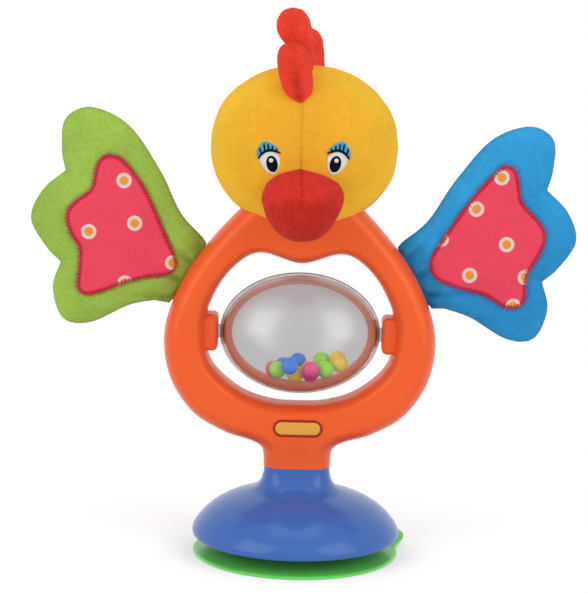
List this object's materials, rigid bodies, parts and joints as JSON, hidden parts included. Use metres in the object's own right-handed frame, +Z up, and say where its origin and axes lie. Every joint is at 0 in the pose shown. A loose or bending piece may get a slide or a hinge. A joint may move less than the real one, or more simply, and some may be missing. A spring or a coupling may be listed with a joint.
{
  "type": "suction cup hen toy",
  "caption": "Tabletop baby toy: a suction cup under a domed base holds a teardrop ring with a spinning rattle egg, a stuffed hen's head above it and a padded cloth wing on each side.",
  "frame": {"origin": "on the table under the middle of the suction cup", "axes": "+Z up, the hen's face looks along -Y, the egg's axle lies along X"},
  "size_m": [0.2374, 0.091, 0.2402],
  "materials": {
    "cup": "glossy soft vinyl",
    "base": "gloss",
    "base_under": "matte",
    "ring": "gloss",
    "egg": "smoky translucent, gloss",
    "left_wing": "velour",
    "right_wing": "velour",
    "stuffing": "loose fibre",
    "patch": "printed cloth",
    "head": "velour",
    "comb": "velour",
    "beak": "ribbed cloth",
    "white_plastic": "matte",
    "steel": "zinc plated",
    "bead_pink": "gloss",
    "bead_green": "gloss",
    "bead_blue": "gloss",
    "bead_yellow": "gloss"
  },
  "bodies": {
    "cup": {"suction_cup": "cup"},
    "frame": {"base_dome": "base", "base_plate": "base_under", "base_screw_1": "steel", "base_screw_2": "steel", "base_screw_3": "steel", "neck_screw_1": "steel", "neck_screw_2": "steel", "shell_screw_1": "steel", "shell_screw_2": "steel", "shell_screw_3": "steel", "shell_screw_4": "steel", "shell_screw_5": "steel", "shell_screw_6": "steel", "front_shell": "ring", "rear_shell": "ring", "left_wing_root": "left_wing", "right_wing_root": "right_wing", "head": "head", "comb": "comb", "beak": "beak", "head_post": "white_plastic", "squeaker_bulb": "white_plastic", "squeaker_reed": "white_plastic"},
    "egg": {"egg_front": "egg", "egg_rear": "egg"},
    "beads": {"bead_01": "bead_pink", "bead_02": "bead_green", "bead_03": "bead_blue", "bead_04": "bead_yellow", "bead_05": "bead_pink", "bead_06": "bead_green", "bead_07": "bead_yellow", "bead_08": "bead_yellow", "bead_09": "bead_green", "bead_10": "bead_yellow", "bead_11": "bead_pink", "bead_12": "bead_pink", "bead_13": "bead_green", "bead_14": "bead_blue", "bead_15": "bead_blue"},
    "left_wing": {"left_wing_front": "left_wing", "left_wing_back": "left_wing", "left_wing_filling": "stuffing", "left_wing_patch": "patch"},
    "right_wing": {"right_wing_front": "right_wing", "right_wing_back": "right_wing", "right_wing_filling": "stuffing", "right_wing_patch": "patch"}
  },
  "joints": [
    {"name": "suction_press", "type": "slide", "parent": "cup", "child": "frame", "axis": [0, 0, 1], "range_m": [-0.003, 0], "stiffness_N_per_m": 3000, "springref_m": 0.002, "deforming": ["suction_cup"]},
    {"name": "egg_spin", "type": "hinge", "parent": "frame", "child": "egg", "pos_m": [0, 0, 0.0989], "axis": [1, 0, 0], "continuous": true},
    {"name": "bead_roll", "type": "hinge", "parent": "frame", "child": "beads", "pos_m": [0, 0, 0.0989], "axis": [1, 0, 0], "range_deg": [-60, 60]},
    {"name": "left_wing_flap", "type": "hinge", "parent": "frame", "child": "left_wing", "pos_m": [-0.05037, 0, 0.12472], "axis": [0.512, 0, 0.859], "range_deg": [-35, 35], "stiffness_Nm_per_rad": 0.03},
    {"name": "right_wing_flap", "type": "hinge", "parent": "frame", "child": "right_wing", "pos_m": [0.05037, 0, 0.12472], "axis": [-0.512, 0, 0.859], "range_deg": [-35, 35], "stiffness_Nm_per_rad": 0.03}
  ]
}
